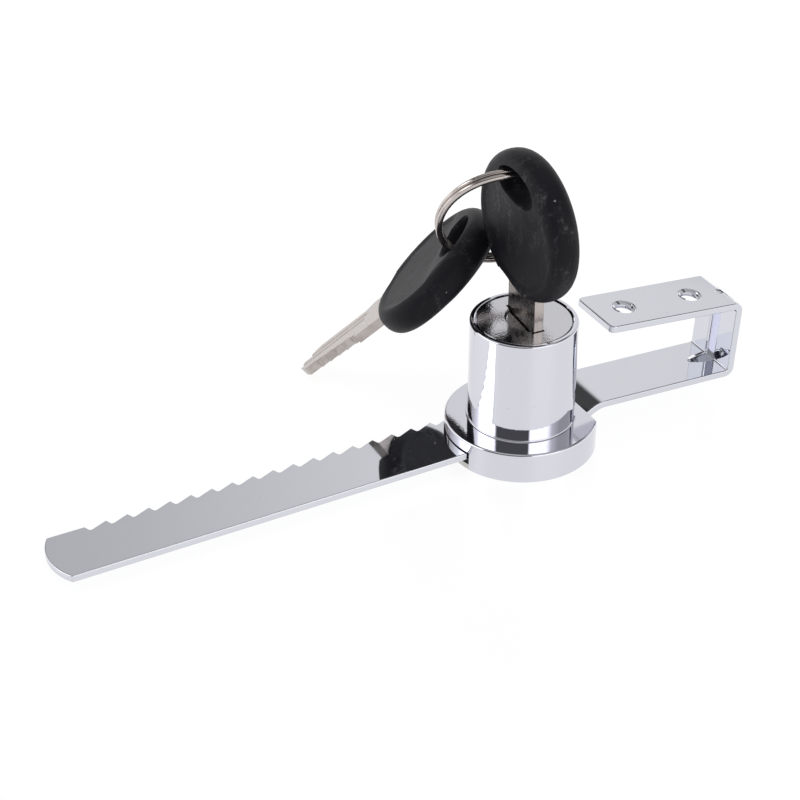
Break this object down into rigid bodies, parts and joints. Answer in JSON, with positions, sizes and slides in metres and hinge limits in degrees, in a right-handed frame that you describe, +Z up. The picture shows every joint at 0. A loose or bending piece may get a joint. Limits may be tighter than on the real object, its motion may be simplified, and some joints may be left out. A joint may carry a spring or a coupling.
{
  "type": "showcase ratchet lock",
  "caption": "Ratchet lock for sliding glass doors: a toothed bar with a U hook, a keyed round lock that slides along it, and two keys on a split ring.",
  "frame": {"origin": "centre of the lock base plate's underside, on the barrel's axis", "axes": "+X along the bar towards the U hook, +Y towards the toothed edge, +Z up the lock barrel"},
  "size_m": [0.1328, 0.0532, 0.0563],
  "materials": {
    "chrome_bar": "bright chrome plated steel strip",
    "chrome_body": "bright chrome plated zinc casting",
    "chrome_cap": "chrome plated face cap",
    "zinc_plate": "zinc plated sheet",
    "zinc_rivet": "zinc plated rivet",
    "brass_plug": "machined brass",
    "brass_wafer": "stamped brass",
    "spring_wire": "spring steel wire",
    "hard_steel": "hardened steel",
    "nickel_blade": "nickel plated key blade",
    "ring_nickel": "nickel plated flattened wire",
    "black_rubber": "matt black moulded key head"
  },
  "bodies": {
    "bar": {"ratchet_bar": "chrome_bar"},
    "lock_body": {"lock_housing": "chrome_body", "base_plate": "zinc_plate", "base_rivet_1": "zinc_rivet", "base_rivet_2": "zinc_rivet", "plug_retaining_pin": "hard_steel", "pawl_spring": "spring_wire"},
    "pawl_body": {"pawl": "hard_steel"},
    "plug_body": {"plug": "brass_plug", "plug_cap": "chrome_cap", "wafer_spring_1": "spring_wire", "wafer_spring_2": "spring_wire", "wafer_spring_3": "spring_wire", "wafer_spring_4": "spring_wire", "wafer_spring_5": "spring_wire"},
    "wafer_body_1": {"wafer_1": "brass_wafer"},
    "wafer_body_2": {"wafer_2": "brass_wafer"},
    "wafer_body_3": {"wafer_3": "brass_wafer"},
    "wafer_body_4": {"wafer_4": "brass_wafer"},
    "wafer_body_5": {"wafer_5": "brass_wafer"},
    "key_1": {"key_1_blade": "nickel_blade", "key_1_head": "black_rubber"},
    "ring": {"key_ring": "ring_nickel"},
    "key_2": {"key_2_blade": "nickel_blade", "key_2_head": "black_rubber"}
  },
  "joints": [
    {"name": "lock_slide", "type": "slide", "parent": "bar", "child": "lock_body", "axis": [1, 0, 0], "range_m": [-0.108, 0]},
    {"name": "plug_turn", "type": "hinge", "parent": "lock_body", "child": "plug_body", "pos_m": [0, 0, 0.0145], "axis": [0, 0, 1], "range_deg": [-75, 0]},
    {"name": "pawl_slide", "type": "slide", "parent": "lock_body", "child": "pawl_body", "axis": [0, 1, 0], "range_m": [-0.0016, 0]},
    {"name": "key_slide", "type": "slide", "parent": "plug_body", "child": "key_1", "axis": [0, 0, 1], "range_m": [0, 0.03]},
    {"name": "wafer_1_slide", "type": "slide", "parent": "plug_body", "child": "wafer_body_1", "axis": [0.0767, 0.9971, 0], "range_m": [0, 0.0006]},
    {"name": "wafer_2_slide", "type": "slide", "parent": "plug_body", "child": "wafer_body_2", "axis": [0.0767, 0.9971, 0], "range_m": [0, 0.0006]},
    {"name": "wafer_3_slide", "type": "slide", "parent": "plug_body", "child": "wafer_body_3", "axis": [0.0767, 0.9971, 0], "range_m": [0, 0.0006]},
    {"name": "wafer_4_slide", "type": "slide", "parent": "plug_body", "child": "wafer_body_4", "axis": [0.0767, 0.9971, 0], "range_m": [0, 0.0006]},
    {"name": "wafer_5_slide", "type": "slide", "parent": "plug_body", "child": "wafer_body_5", "axis": [0.0767, 0.9971, 0], "range_m": [0, 0.0006]},
    {"name": "ring_swing", "type": "hinge", "parent": "key_1", "child": "ring", "pos_m": [0.00061, 0.00352, 0.05135], "axis": [0.0767, 0.9971, 0], "range_deg": [0, 9]},
    {"name": "key_2_swing", "type": "hinge", "parent": "ring", "child": "key_2", "pos_m": [-0.0053, 0.0134, 0.0329], "axis": [0.8401, -0.0582, -0.5393], "range_deg": [-25, 3]}
  ],
  "couplings": [
    {"joint": "pawl_slide", "follows": "plug_turn", "m_per_rad": 0.0011905},
    {"joint": "wafer_1_slide", "follows": "key_slide", "ratio": 0.02},
    {"joint": "wafer_2_slide", "follows": "key_slide", "ratio": 0.02},
    {"joint": "wafer_3_slide", "follows": "key_slide", "ratio": 0.02},
    {"joint": "wafer_4_slide", "follows": "key_slide", "ratio": 0.02},
    {"joint": "wafer_5_slide", "follows": "key_slide", "ratio": 0.02}
  ]
}
